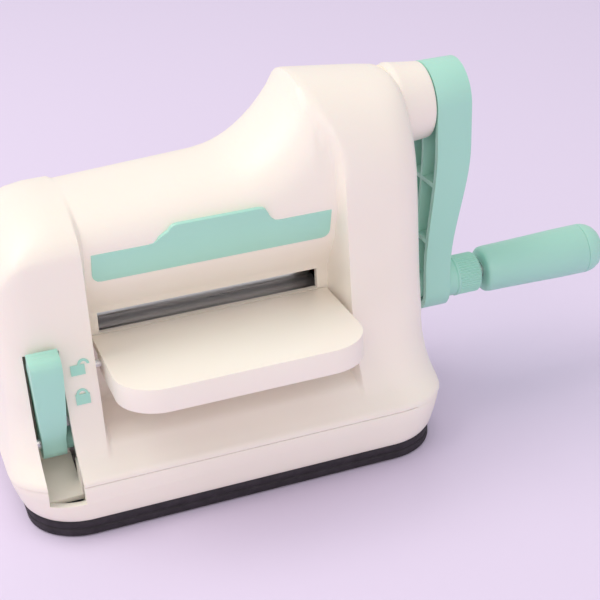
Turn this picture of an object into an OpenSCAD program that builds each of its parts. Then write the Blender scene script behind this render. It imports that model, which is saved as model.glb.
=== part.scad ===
// Compact hand-cranked die cutting machine with a 76 mm pass.
// Frame: origin on the table, under the centre of the base; +X to the crank,
// +Y to the rear, +Z up. Millimetres.

/* [Base] */
// Width of the rubber foot, side to side
base_w = 150; // [120:1:200]
// Depth of the rubber foot, front to rear
base_d = 92; // [80:1:120]
// Height of the rubber foot
foot_h = 6.3; // [4:0.1:9]
// Plan corner radius of the base
base_r = 20; // [10:1:30]
// Height of the parting line between base ring and housing
seam_z = 20; // [16:0.5:24]

/* [Housing] */
// Half width of the towers
tower_x = 76; // [66:0.5:90]
// Half depth of the towers
tower_y = 33; // [30:0.5:40]
// Height of the left tower and of the bridge
roof_z = 111; // [100:0.5:125]
// Height of the drive head over the right tower
head_z = 137; // [128:0.5:150]
// Half width of the recess between the towers
recess_x = 44; // [40:0.5:50]
// Wall thickness of the mouldings
wall = 2.4; // [1.6:0.1:3.2]

/* [Feed] */
// Height of the feed plane
feed_z = 58.5; // [50:0.5:62]
// Gap between the rollers
nip = 5.6; // [4:0.1:8]
// Radius of both rollers
roller_r = 11; // [9:0.5:13]
// Width of the feed slot
slot_w = 80; // [76:1:84]
// Length the feed tables stand out from the centre
table_y = 62; // [55:1:75]
// How far a feed table folds up
fold_deg = 80; // [0:1:80]

/* [Drive] */
// Height of the crank axis
crank_z = 117; // [112:0.5:122]
// Distance from the crank axis to the grip axis
crank_l = 72.5; // [60:0.5:85]
// Plane where the crank meets the hub boss
hub_x = 88.5; // [84:0.5:94]
// Length of the grip
grip_l = 52; // [40:1:70]
// Gear module
gm = 1.25; // [1:0.25:1.5]
// Teeth of the crank pinion
z_crank = 14; // [12:1:16]
// Teeth of the idler
z_idle = 20; // [18:1:22]
// Teeth of each roller gear
z_roll = 22; // [20:1:24]

/* [Suction base] */
// Centre of the suction lever across the machine
lever_x = -63; // [-66:0.5:-58]
// Width of the lever's thumb pad
lever_w = 10.4; // [8:0.2:12]
// Height of the lever's pivot
lever_z = 29; // [26:0.5:34]

/* [Fits] */
// Radial clearance of a shaft in its bushing
run = 0.05; // [0.02:0.01:0.1]
// Radial clearance of a bushing in its plate
seat = 0.03; // [0.02:0.01:0.06]
// Gap between mouldings that meet
joint_gap = 0.3; // [0.2:0.05:0.6]

/* [Hidden] */
roll_lo = feed_z - roller_r;
roll_hi = feed_z + nip + roller_r;
foot_x = base_w / 2;
foot_y = base_d / 2;
grip_z = crank_z - crank_l;
pr_c = gm * z_crank / 2;
pr_i = gm * z_idle / 2;
pr_r = gm * z_roll / 2;
gap_ci = pr_c + pr_i;
gap_ir = pr_i + pr_r;
gap_cr = crank_z - roll_hi;
idle_a = (gap_ci * gap_ci - gap_ir * gap_ir + gap_cr * gap_cr) / (2 * gap_cr);
idle_y = sqrt(max(1, gap_ci * gap_ci - idle_a * idle_a));
idle_z = crank_z - idle_a;
// drive planes across the machine
frame_t = 3;
left_f = -52;
inner_f = 50;
outer_f = 68.4;
gear_x0 = 57;
gear_w = 8;
drum_x = 42.5;
shaft_r = 5;
bush_r = 7.5;
crank_r = 5;
hub_r = 13.85;
arm_out = hub_x + 13.6;
arm_in_lo = 84.6;
arm_out_lo = 94.6;
shank_x1 = arm_out_lo + 15;
grip_x0 = shank_x1 + 2.4;
grip_r = 8.9;
table_t = 3;
hinge_y = 27;
hinge_z = feed_z - 4.5;
table_hw = recess_x - 0.9;
lever_y = -27;
stem_y = 0;
$fn = 48;

cream = [0.96, 0.93, 0.89];
mint = [0.56, 0.80, 0.73];
black = [0.09, 0.08, 0.10];
steel = [0.72, 0.73, 0.75];
brass = [0.80, 0.66, 0.36];

// ---- helpers -------------------------------------------------------------
function mix(a, b, s) = a + (b - a) * s;
function clamp(v) = min(1, max(0, v));
function ease(v) = clamp(v) * clamp(v) * (3 - 2 * clamp(v));

// outline of a rectangle with round corners
module round_rect(hx, hy, r) {
  for (sx = [-1, 1]) translate([sx * (hx - r), 0]) square([2 * r, 2 * (hy - r)], center = true);
  square([2 * (hx - r), 2 * hy], center = true);
  for (sx = [-1, 1], sy = [-1, 1]) translate([sx * (hx - r), sy * (hy - r)]) circle(r, $fn = 48);
}

// cylinder along X from x0 to x1 on the axis (y, z)
module rod_x(x0, x1, y, z, r) {
  translate([x0, y, z]) rotate([0, 90, 0]) cylinder(r = r, h = x1 - x0);
}

// plate whose outline lies across X: 2-D (u, v) becomes (y, z)
module plate_x(x0, t) {
  translate([x0, 0, 0]) rotate([90, 0, 90]) linear_extrude(t) children();
}

// ---- housing form --------------------------------------------------------
// half width of the roof profile at x: height of the crown
function crown_z(x) =
  let (l = ease((x - 12) / 28),
       top = mix(roof_z, head_z, l) - max(0, x - 40) * 0.125,
       le = max(0, -x - (tower_x - 24)),
       re = max(0, x - (tower_x - 8)))
  top - (24 - sqrt(max(0, 576 - le * le))) - (8 - sqrt(max(0, 64 - re * re)));

// blend that is 0 in the recess and 1 in a tower
function in_tower(x, t) = ease((abs(x) - (recess_x + t)) / 1.8);

// amount the plan corner takes off the depth at x, for a corner radius r
function corner(x, r) =
  let (e = max(0, abs(x) - (tower_x - r))) r - sqrt(max(0, r * r - e * e));

function low(z) = clamp((48 - z) / 28);

// tower front and recess front, as [depth, height] from the foot upwards
tow_pts = [[47.6, 20], [47.6, 21.6], [45.2, 23.6], [41.6, 27], [38.6, 32], [36, 39],
  [34.3, 48], [33.4, 57], [33.1, 62], [33, 66.2], [33, 74], [33, 82], [33, 88]];
rec_pts = [[47.6, 20], [47.6, 21.6], [45.2, 23.6], [41.2, 27], [37.5, 30.6], [20.5, 34.2],
  [14.6, 38], [14.2, 52], [14.2, 53], [14.6, 66.6], [19.4, 74], [24.4, 82], [26.4, 88]];

crown_n = 7;
// the head reaches in over the recess as it rises
function edge_x(z) = recess_x - 10 * ease((z - 106) / 30);
function edge_w(z) = 1.8 + 5 * ease((z - 100) / 30);
function crown_pt(j, x, t) =
  let (a = 90 * j / crown_n, zc = min(94, crown_z(x) - 9), zt = crown_z(x),
       z = zc + (zt - zc) * pow(sin(a), 0.92),
       s = x > 0 ? ease((x - edge_x(z) - t) / edge_w(z)) : in_tower(x, t))
  [mix(28.6, tower_y, s) * pow(cos(a), 0.86), z];

function half_ring(x, t) =
  let (s = in_tower(x, t), zt = crown_z(x))
  concat([for (i = [0:len(tow_pts) - 1])
      let (p = mix(rec_pts[i], tow_pts[i], s)) [p[0], min(p[1], zt - 10 - (13 - i) * 0.5)]],
    [for (j = [0:crown_n - 1]) crown_pt(j, x, t)], [[0, zt]]);

// moves a closed outline inwards by t
function inset(p, t) = t == 0 ? p : [for (i = [0:len(p) - 1])
  let (a = p[max(0, i - 1)], b = p[min(len(p) - 1, i + 1)],
       d = b - a, l = max(0.01, norm(d)))
  [max(0, p[i][0] - t * d[1] / l), p[i][1] + t * d[0] / l]];

function ring(x, t) =
  let (h = inset(half_ring(x, t), t), n = len(h))
  [for (k = [0:2 * n - 2])
    let (m = k < n ? k : 2 * n - 2 - k, sg = k < n ? -1 : 1,
         q = h[m], z = q[1], lo = low(z), r = mix(12, base_r, lo),
         dmax = 33 + 14.6 * lo * lo, c = corner(x, r))
    [x * (1 + 0.046 * lo * lo), sg * q[0] * (1 - c / dmax), z]];

stations = [-76, -75.6, -74.4, -72, -68, -62, -54, -46, -45.2, -44.6, -43.8, -20, 6, 14, 20,
  25, 30, 35, 40, 43.8, 44.6, 45.2, 46, 62, 68, 70.5, 73, 75, 75.7, 76];
stations_in = [-73.6, -73, -71, -66, -60, -52, -48.4, -47.4, -46.4, -20, 6, 14, 22, 28, 34,
  40, 46.4, 47.4, 48.4, 64, 69, 72, 73.2, 73.6];

module skin(st, t, drop) {
  rings = [for (x = st) ring(x, t)];
  m = len(rings[0]);
  n = len(rings);
  pts = [for (r = rings, p = r) [p[0], p[1], p[2] - (p[2] < 24 ? drop : 0)]];
  side = [for (i = [0:n - 2], k = [0:m - 1])
    let (a = i * m + k, b = i * m + (k + 1) % m, c = a + m, d = b + m)
    each [[a, d, c], [a, b, d]]];
  e0 = len(pts);
  mid = [[st[0], 0, 58], [st[n - 1], 0, 58]];
  cap0 = [for (k = [0:m - 1]) [e0, (k + 1) % m, k]];
  cap1 = [for (k = [0:m - 1]) [e0 + 1, (n - 1) * m + k, (n - 1) * m + (k + 1) % m]];
  polyhedron(concat(pts, mid), concat(side, cap0, cap1), convexity = 10);
}

// hub boss with a soft root, turned about the crank axis
module hub_boss() {
  translate([0, 0, crank_z]) rotate([0, 90, 0]) rotate_extrude($fn = 40)
    polygon([[7.7, tower_x - 8], [17.2, tower_x - 8], [17.2, tower_x - 2], [16, tower_x + 1],
      [14.9, tower_x + 4], [14.1, tower_x + 8], [hub_r, hub_x - 0.8], [hub_r - 0.4, hub_x],
      [7.7, hub_x]]);
}

module slot_cut(sy) {
  translate([0, sy * 24, feed_z + 3.8]) cube([slot_w, 40, 8], center = true);
}

module housing() color(cream) {
  difference() {
    union() {
      difference() {
        skin(stations, 0, 0);
        skin(stations_in, wall, 9);
      }
      intersection() {
        hub_boss();
        translate([tower_x - 2.2, -30, 80]) cube([20, 60, 60]);
      }
    }
    // feed slot through front and rear
    for (sy = [-1, 1]) slot_cut(sy);
    // the lever's slot in the left tower
    translate([lever_x - 5.9, -60, 22.4]) cube([11.8, 34, 42.4]);
    translate([lever_x - 5.9, -60, seam_z - 1]) cube([11.8, 19.4, 5]);
    // crank shaft passage
    rod_x(tower_x - 9, hub_x + 1, 0, crank_z, 7.7);
    // seats of the accent panels
    for (sy = [-1, 1]) panel_body(sy, 0.15, 4);
    // hinge pin holes of the feed tables
    for (sy = [-1, 1], sx = [-1, 1])
      rod_x(sx * 46.5 - 4, sx * 46.5 + 4, sy * hinge_y, hinge_z, 1.5 + seat);
  }
}

// ---- base ----------------------------------------------------------------
module base_loft(z0, z1, x0, y0, x1, y1, r) {
  hull() {
    translate([0, 0, z0]) linear_extrude(0.01) round_rect(x0, y0, r);
    translate([0, 0, z1 - 0.01]) linear_extrude(0.01) round_rect(x1, y1, r);
  }
}

module base_ring() color(cream) {
  top = seam_z - joint_gap;
  difference() {
    union() {
      base_loft(foot_h, foot_h + 3, foot_x, foot_y, foot_x + 1.6, foot_y + 0.6, base_r);
      base_loft(foot_h + 3, top, foot_x + 1.6, foot_y + 0.6, foot_x + 4, foot_y + 1.6, base_r);
    }
    translate([0, 0, foot_h - 1]) linear_extrude(20)
      round_rect(foot_x - wall - 0.2, foot_y - wall - 0.2, base_r - 2);
    translate([lever_x - 5.9, -60, 13.4]) cube([11.8, 19.4, 10]);
  }
  // corner posts that take the floor screws
  for (sx = [-1, 1], sy = [-1, 1]) difference() {
    translate([sx * 46, sy * 33, foot_h + 3.4]) cylinder(r = 4, h = 8);
    translate([sx * 46, sy * 33, foot_h + 2]) cylinder(r = 1.6, h = 8);
  }
  for (sx = [-1, 1], sy = [-1, 1]) difference() {
    translate([sx * 46 - 1, sy * 39.6 - 4.4, foot_h + 3.4]) cube([2, 8.8, 8]);
    translate([sx * 46, sy * 33, foot_h + 2]) cylinder(r = 3, h = 12);
  }
}

module rubber_foot() color(black) difference() {
  union() {
    linear_extrude(1.2) round_rect(foot_x - 0.5, foot_y - 0.5, base_r - 0.5);
    translate([0, 0, 1.2]) linear_extrude(foot_h - 1.2) round_rect(foot_x, foot_y, base_r);
  }
  translate([0, 0, -1]) linear_extrude(foot_h + 2) round_rect(foot_x - 9, foot_y - 9, base_r - 9);
  translate([0, 0, foot_h - 2]) linear_extrude(4) round_rect(foot_x - 4, foot_y - 4, base_r - 4);
}

floor_z = foot_h - 2;
module floor_plate() color(steel) difference() {
  translate([0, 0, floor_z]) linear_extrude(2) round_rect(foot_x - 4, foot_y - 4, base_r - 4);
  translate([0, 0, floor_z - 1]) cylinder(r = 4.2, h = 6);
  for (sx = [-1, 1], sy = [-1, 1]) {
    translate([sx * 46, sy * 33, floor_z - 1]) cylinder(r = 1.7, h = 6);
  }
}

module floor_screws() color(steel)
  for (sx = [-1, 1], sy = [-1, 1]) translate([sx * 46, sy * 33, 0]) {
    translate([0, 0, floor_z - 1.3]) cylinder(r = 3, h = 1.3);
    translate([0, 0, floor_z - 0.1]) cylinder(r = 1.55, h = 10);
  }

// suction membrane: a shallow dish, held under the floor plate
cup_r = 33;
module suction_cup() color(black) rotate_extrude($fn = 64)
  polygon([[0, 1], [8, 0.9], [28, 0.4], [cup_r, 0.05], [cup_r, 0.9], [27, 1.5], [8, 2.1],
    [5, 2.6], [0, 2.6]]);

// stem: foot moulded in the membrane, arm and hook over the lever's cam
cam_x0 = lever_x + 4.2;
cam_x1 = lever_x + 8.4;
cam_r = 4.8;
lift = 1.5;
module suction_stem() color(steel) {
  translate([0, 0, 2.6]) cylinder(r = 3.95, h = 13);
  translate([cam_x0 + 0.3, -2.5, 14.5]) cube([3.8 - cam_x0, 5, 4]);
  translate([cam_x0 + 0.3, -20, 14.5]) cube([4, 22.5, 4]);
  translate([cam_x0 + 0.3, -20, 14.5]) cube([4, 3, 23.2]);
  translate([cam_x0 + 0.3, -29, lever_z + cam_r + 0.35]) cube([4, 12, 3.55]);
}

module stem_guide() color(steel) difference() {
  union() {
    translate([0, 0, foot_h]) cylinder(r = 11, h = 2);
    translate([0, 0, foot_h]) cylinder(r = 7, h = 7.2);
  }
  translate([0, 0, floor_z]) cylinder(r = 3.95 + run, h = 16);
}

// ---- suction lever -------------------------------------------------------
module suction_lever() color(mint) difference() {
  union() {
    // thumb pad and tapering blade
    plate_x(lever_x - lever_w / 2, lever_w)
      polygon([[-41.6, 60.6], [-41.1, 64], [-39.8, 65.3], [-34.6, 66.8], [-34.1, 63.4],
        [-31.5, 61], [-33, 55], [-36.4, 46], [-38.6, 44.4]]);
    plate_x(lever_x - 4.2, 8.4)
      polygon([[-41, 60], [-33.4, 61.5], [-25.4, 36], [-30.4, 30], [-38.2, 40]]);
    rod_x(lever_x - 4.2, lever_x + 4.2, lever_y, lever_z, 6);
    // cam that lifts the stem's hook
    rod_x(cam_x0 - 0.2, cam_x1, lever_y + lift, lever_z, cam_r);
  }
  rod_x(lever_x - 9, lever_x + 14, lever_y, lever_z, 2.5 + run);
}

module lever_pin() color(steel) {
  rod_x(-71, -51.8, lever_y, lever_z, 2.5);
}

// floor and two ears that carry the lever's pin
module lever_well() color(cream) difference() {
  union() {
    translate([-70.4, -28, foot_h + 0.1]) cube([1.6, 9, 27.4]);
    translate([-54.2, -31, foot_h + 0.1]) cube([1.9, 8.6, 29]);
    translate([-70.4, -28, foot_h + 0.1]) cube([17.2, 9, 1.6]);
  }
  rod_x(lever_x - 20, lever_x + 20, lever_y, lever_z, 2.5 + seat);
}

// raised open and closed padlock signs beside the lever
module padlock(open) {
  square([4.8, 3.6], center = true);
  translate([open ? 2.1 : 0, 1.7]) difference() {
    circle(2, $fn = 24);
    circle(1.15, $fn = 24);
    translate([-3, -6]) square([6, 6]);
  }
}
module lock_marks() color(mint) {
  translate([-51.9, -33.60, 56.6]) rotate([84.3, 0, 0]) linear_extrude(0.25) padlock(true);
  translate([-51.6, -34.78, 46.2]) rotate([79.3, 0, 0]) linear_extrude(0.25) padlock(false);
}

// ---- frames --------------------------------------------------------------
bore_pts = [[0, roll_lo], [0, roll_hi]];
module frame_outline(top) {
  difference() {
    union() {
      translate([-23, 12]) square([46, 84]);
      if (top > 96) translate([-13, 90]) square([26, top - 90]);
      translate([-25, 7]) square([50, 6]);
      if (top > 96) translate([0, crank_z]) circle(10.5);
    }
    for (p = bore_pts) translate(p) circle(bush_r + seat);
    for (p = tie_pts) translate(p) circle(2.5);
  }
}
tie_pts = [[-18, 24], [18, 24], [-19, 90], [19, 90]];
module left_frame() color(steel) plate_x(left_f, frame_t) difference() {
  frame_outline(96);
  // window for the suction arm
  translate([-4.5, 12.5]) square([9, 9.5]);
}
module right_inner_frame() color(steel) plate_x(inner_f, frame_t) difference() {
  frame_outline(crank_z);
  translate([0, crank_z]) circle(bush_r + seat);
  translate([idle_y, idle_z]) circle(3 + seat);
}
module right_outer_frame() color(steel) plate_x(outer_f, frame_t) difference() {
  frame_outline(crank_z);
  translate([0, crank_z]) circle(bush_r + seat);
  translate([idle_y, idle_z]) circle(3 + seat);
}

// tie rods: shouldered between the plates
module tie_rods() color(steel) for (p = tie_pts) {
  rod_x(left_f + frame_t, inner_f, p[0], p[1], 4);
  // the idler takes the place of the fourth outer rod
  if (p[0] < 0 || p[1] < 50) {
    rod_x(inner_f + frame_t, outer_f, p[0], p[1], 4);
    rod_x(outer_f - 1, outer_f + frame_t, p[0], p[1], 2.45);
  }
  rod_x(left_f, left_f + frame_t + 1, p[0], p[1], 2.45);
  rod_x(inner_f - 1, inner_f + frame_t + 1, p[0], p[1], 2.45);
}
module frame_screws() color(steel) for (p = tie_pts) {
  rod_x(left_f - 2.2, left_f, p[0], p[1], 4);
  if (p[0] < 0 || p[1] < 50) rod_x(outer_f + frame_t, outer_f + frame_t + 1, p[0], p[1], 4);
}

// ---- rollers and gears ---------------------------------------------------
module roller(z) {
  rod_x(-drum_x, drum_x, 0, z, roller_r);
  rod_x(-drum_x - 4, drum_x + 4, 0, z, 7);
  rod_x(left_f - 3, outer_f + frame_t + 1.2, 0, z, shaft_r);
}
module upper_roller() color(steel) roller(roll_hi);
module lower_roller() color(steel) roller(roll_lo);

module bushing(x0, x1, z, flange) difference() {
  union() {
    rod_x(x0, x1, 0, z, bush_r);
    rod_x(flange, flange + 1.2, 0, z, bush_r + 1.6);
  }
  rod_x(x0 - 5, x1 + 5, 0, z, shaft_r + run);
}
module bushing_set(z) {
  bushing(left_f, left_f + frame_t + 1.2, z, left_f + frame_t);
  bushing(inner_f - 1.2, inner_f + frame_t, z, inner_f - 1.2);
  bushing(outer_f - 1.2, outer_f + frame_t, z, outer_f - 1.2);
}
module upper_bushings() color(brass) bushing_set(roll_hi);
module lower_bushings() color(brass) bushing_set(roll_lo);
module crank_bushings() color(brass) {
  bushing(inner_f - 1.2, inner_f + frame_t, crank_z, inner_f - 1.2);
  bushing(outer_f - 1.2, outer_f + frame_t, crank_z, outer_f - 1.2);
}

// spur gear on X with tooth 0 at angle ph, measured from +Y towards +Z
module spur(n, ph, x0, w, y, z, bore) {
  pr = gm * n / 2;
  ro = pr + 0.92 * gm;
  rf = pr - 1.2 * gm;
  translate([x0, y, z]) rotate([90, 0, 90]) difference() {
    union() {
      cylinder(r = rf, h = w, $fn = 96);
      for (k = [0:n - 1]) rotate(ph + k * 360 / n) linear_extrude(w)
        polygon([[rf - 0.6, -0.92 * gm], [rf + 0.1, -0.92 * gm], [pr - 0.3 * gm, -0.84 * gm],
          [pr, -0.70 * gm], [pr + 0.5 * gm, -0.52 * gm], [ro, -0.30 * gm],
          [ro, 0.30 * gm], [pr + 0.5 * gm, 0.52 * gm], [pr, 0.70 * gm],
          [pr - 0.3 * gm, 0.84 * gm], [rf + 0.1, 0.92 * gm], [rf - 0.6, 0.92 * gm]]);
    }
    translate([0, 0, -1]) cylinder(r = bore, h = w + 2);
  }
}
// tooth angles that put every pair in mesh at rest
ph_hi = 90;
ph_lo = 90 + 180 / z_roll;
al_i = atan2(idle_z - roll_hi, idle_y);
ph_i = al_i + 180 + 180 / z_idle - (z_roll / z_idle) * (ph_hi - al_i);
al_c = atan2(crank_z - idle_z, -idle_y);
ph_c = al_c + 180 + 180 / z_crank - (z_idle / z_crank) * (ph_i - al_c);

module gear_hub(x0, x1, y, z, r, bore) difference() {
  rod_x(x0, x1, y, z, r);
  rod_x(x0 - 1, x1 + 1, y, z, bore);
}
module upper_gear() color(steel) {
  spur(z_roll, ph_hi, gear_x0, gear_w, 0, roll_hi, shaft_r);
  gear_hub(gear_x0 + gear_w - 0.1, gear_x0 + gear_w + 2, 0, roll_hi, 8, shaft_r);
}
module lower_gear() color(steel) {
  spur(z_roll, ph_lo, gear_x0, gear_w, 0, roll_lo, shaft_r);
  gear_hub(gear_x0 + gear_w - 0.1, gear_x0 + gear_w + 2, 0, roll_lo, 8, shaft_r);
}
module idler_gear() color(steel)
  spur(z_idle, ph_i, gear_x0, gear_w, idle_y, idle_z, 3 + run);
module idler_pin() color(steel) {
  rod_x(inner_f, outer_f + frame_t, idle_y, idle_z, 3);
  difference() {
    union() {
      rod_x(inner_f + frame_t, gear_x0 - 0.3, idle_y, idle_z, 4.5);
      rod_x(gear_x0 + gear_w + 0.3, outer_f, idle_y, idle_z, 4.5);
    }
    rod_x(inner_f, outer_f + frame_t, idle_y, idle_z, 2.9);
  }
}
module crank_pinion() color(steel) {
  spur(z_crank, ph_c, gear_x0, gear_w, 0, crank_z, crank_r);
}
module crank_shaft() color(steel) {
  rod_x(inner_f - 3, hub_x + 4, 0, crank_z, crank_r);
  translate([hub_x - 0.1, -4, crank_z - 4]) cube([9.6, 8, 8]);
}
module clip(x0, y, z, r) difference() {
  rod_x(x0, x0 + 0.9, y, z, r + 2);
  rod_x(x0 - 1, x0 + 2, y, z, r);
}
module upper_clip() color(steel) clip(left_f - 1.2, 0, roll_hi, shaft_r);
module lower_clip() color(steel) clip(left_f - 1.2, 0, roll_lo, shaft_r);
module crank_clip() color(steel) clip(inner_f - 2.4, 0, crank_z, crank_r);

// ---- crank ---------------------------------------------------------------
// side view outline: two tangent circles
module arm_outline(e) {
  r0 = hub_r - e;
  r1 = 9.9 - e;
  s = (r0 - r1) / crank_l;
  c = sqrt(1 - s * s);
  translate([0, crank_z]) circle(r0, $fn = 64);
  translate([0, grip_z]) circle(r1, $fn = 48);
  polygon([[r0 * c, crank_z - r0 * s], [-r0 * c, crank_z - r0 * s],
    [-r1 * c, grip_z - r1 * s], [r1 * c, grip_z - r1 * s]]);
}
// front view outline: the arm's sweep from the hub in to the shank
function arm_x(v) = ease(v);
module arm_band(e, open) {
  n = 16;
  z1 = crank_z + hub_r + 1;
  z0 = grip_z - 11;
  dz = z1 - z0;
  outer = [for (i = [0:n]) let (v = i / n, z = z1 - dz * v, s = ease((v - 0.31) / 0.49))
    [mix(arm_out, arm_out_lo, s) - e, z]];
  inner = [for (i = [n:-1:0]) let (v = i / n, z = z1 - dz * v, s = ease((v - 0.31) / 0.49))
    [mix(hub_x + 0.4, arm_in_lo, s) - (open ? 1.5 : 0), z]];
  polygon(concat(outer, inner));
}
module arm_solid(e, open) {
  intersection() {
    plate_x(70, 40) arm_outline(e);
    translate([0, 40, 0]) rotate([90, 0, 0]) linear_extrude(80) arm_band(e, open);
  }
}
module crank_arm() color(mint) {
  difference() {
    arm_solid(0, false);
    difference() {
      arm_solid(2.2, true);
      // hub block, spindle boss and cross ribs stay inside the channel
      rod_x(80, 110, 0, crank_z, 8);
      rod_x(80, 110, 0, grip_z, 5.6);
      translate([80, -14, grip_z + 20]) cube([30, 28, 1.6]);
      translate([80, -14, grip_z + 42]) cube([30, 28, 1.6]);
      translate([80, -0.8, grip_z + 5]) cube([30, 1.6, crank_l - 12]);
    }
    translate([hub_x - 1, -4.03, crank_z - 4.03]) cube([10.6, 8.06, 8.06]);
    rod_x(hub_x - 6, hub_x + 4.2, 0, crank_z, crank_r + 0.02);
    rod_x(hub_x + 8, arm_out - 2, 0, crank_z, 2.1);
    rod_x(arm_out - 2.4, arm_out + 2, 0, crank_z, 6.1);
    rod_x(80, 110, 0, grip_z, 3.02);
  }
}
module hub_cap() color(mint) {
  rod_x(hub_x + 9.6, arm_out - 2.3, 0, crank_z, 2);
  rod_x(arm_out - 2.3, arm_out - 0.3, 0, crank_z, 6);
}
module grip_spindle() color(steel) {
  rod_x(arm_in_lo + 0.6, grip_x0 + grip_l - 8, 0, grip_z, 3);
  difference() {
    rod_x(grip_x0 + grip_l - 8.2, grip_x0 + grip_l - 6.6, 0, grip_z, 5);
  }
}
module grip_collar() color(mint) difference() {
  union() {
    rod_x(arm_out_lo, shank_x1, 0, grip_z, 7.4);
    rod_x(arm_out_lo + 5, arm_out_lo + 6, 0, grip_z, 7.8);
    for (k = [0:23]) translate([arm_out_lo + 6.5, 0, grip_z]) rotate([k * 15, 0, 0])
      translate([0, 7.2, -0.35]) cube([shank_x1 - arm_out_lo - 7.2, 0.6, 0.7]);
  }
  rod_x(80, 130, 0, grip_z, 3.02);
}
module grip() color(mint) translate([grip_x0, 0, grip_z]) rotate([0, 90, 0]) difference() {
  rotate_extrude($fn = 64) polygon([[3.05, 0], [grip_r - 1, 0], [grip_r - 0.3, 0.4],
    [grip_r, 1.2], [grip_r + 0.3, 16], [grip_r + 0.8, 34], [grip_r + 0.8, grip_l - 9],
    [3.05, grip_l - 9]]);
  translate([0, 0, grip_l - 11]) cylinder(r = 6.6, h = 6);
}
module grip_end() color(mint) translate([grip_x0 + grip_l - 9, 0, grip_z]) rotate([0, 90, 0])
  difference() {
    rotate_extrude($fn = 64) polygon([[0, 0.02], [grip_r + 0.8, 0.02], [grip_r + 0.7, 2],
      [grip_r + 0.1, 4.2], [grip_r - 1.2, 6.2], [grip_r - 3.2, 7.8], [grip_r - 5.8, 8.7],
      [0, 9]]);
    translate([0, 0, -1]) cylinder(r = 6.6, h = 4);
  }

// ---- accent panels -------------------------------------------------------
// a label plate with a raised middle tab, leaning with the recess front
module panel_outline(e) {
  w = recess_x - 2.2 + e;
  polygon([[-w + 3, -e], [w - 3, -e], [w - 0.9, 0.9 - e], [w, 3], [w, 11.9 + e],
    [22.6 + e, 11.9 + e], [21 + e, 12.4 + e], [19.8 + e, 13.6 + e], [18.2 + e, 16.8 + e],
    [17 + e, 18 + e], [15.4, 18.4 + e], [-12.6, 18.4 + e], [-14.4 - e, 18 + e],
    [-15.8 - e, 16.8 + e], [-18.8 - e, 13.6 + e], [-20 - e, 12.4 + e], [-21.6 - e, 11.9 + e],
    [-w, 11.9 + e], [-w, 3], [-w + 0.9, 0.9 - e]]);
}
panel_lean = 18.4;
module panel_body(sy, e, h) {
  rotate([0, 0, sy > 0 ? 180 : 0]) translate([0, -24.9, 82.4]) rotate([90 + panel_lean, 0, 0])
    translate([0, 0, -1.4]) linear_extrude(h) panel_outline(e);
}
module front_panel() color(mint) panel_body(-1, 0, 1.5);
module rear_panel() color(mint) panel_body(1, 0, 1.5);

// ---- feed tables ---------------------------------------------------------
module table_outline(e) {
  r = 15 - e;
  w = table_hw - e;
  difference() {
    union() {
      translate([-w, -table_y + e + r]) square([2 * w, table_y - e - r - 15.4]);
      translate([-w + r, -table_y + e]) square([2 * w - 2 * r, r + 2]);
      for (sx = [-1, 1]) translate([sx * (w - r), -table_y + e + r]) circle(r, $fn = 64);
    }
    translate([-60, -15.4]) square([120, 8]);
  }
}
module table() {
  difference() {
    union() {
      difference() {
        translate([0, 0, feed_z - 8.6]) linear_extrude(8.6) table_outline(0);
        translate([0, 0, feed_z - 10]) linear_extrude(10 - table_t) table_outline(2.6);
        // the skirt stops short of the hinge
        translate([-60, -25, feed_z - 12]) cube([120, 20, 12 - table_t]);
      }
      for (sx = [-1, 1]) translate([sx * (table_hw - 2.6) - 2.6, 0, 0]) intersection() {
        rod_x(0, 5.2, -hinge_y, hinge_z, 4);
        translate([0, -40, 0]) cube([5.2, 40, feed_z - 0.6]);
      }
      for (x = [-24, 0, 24]) translate([x - 0.8, -table_y + 2, feed_z - 6.4])
        cube([1.6, table_y - 29, 4]);
    }
    for (sx = [-1, 1]) rod_x(sx * (table_hw - 2.6) - 4, sx * (table_hw - 2.6) + 4,
      -hinge_y, hinge_z, 1.5 + run);
  }
}
module front_table() color(cream) table();
module rear_table() color(cream) rotate([0, 0, 180]) table();
module hinge_pins(sy) for (sx = [-1, 1])
  rod_x(sx * 44.6 - 5, sx * 44.6 + 5, sy * hinge_y, hinge_z, 1.5);
module front_hinge_pins() color(steel) hinge_pins(-1);
module rear_hinge_pins() color(steel) hinge_pins(1);

housing();
base_ring();
rubber_foot();
floor_plate();
suction_cup();
suction_stem();
stem_guide();
suction_lever();
lever_pin();
lever_well();
lock_marks();
left_frame();
right_inner_frame();
right_outer_frame();
tie_rods();
frame_screws();
upper_roller();
lower_roller();
upper_bushings();
lower_bushings();
upper_gear();
lower_gear();
idler_gear();
idler_pin();
crank_pinion();
crank_shaft();
crank_bushings();
upper_clip();
lower_clip();
crank_clip();
crank_arm();
hub_cap();
grip_spindle();
grip_collar();
grip();
grip_end();
front_panel();
rear_panel();
front_table();
rear_table();
front_hinge_pins();
rear_hinge_pins();
floor_screws();
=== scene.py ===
import bpy
import bmesh
from math import radians, sin, cos, sqrt, pi, atan2, degrees
from mathutils import Matrix, Vector


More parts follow.
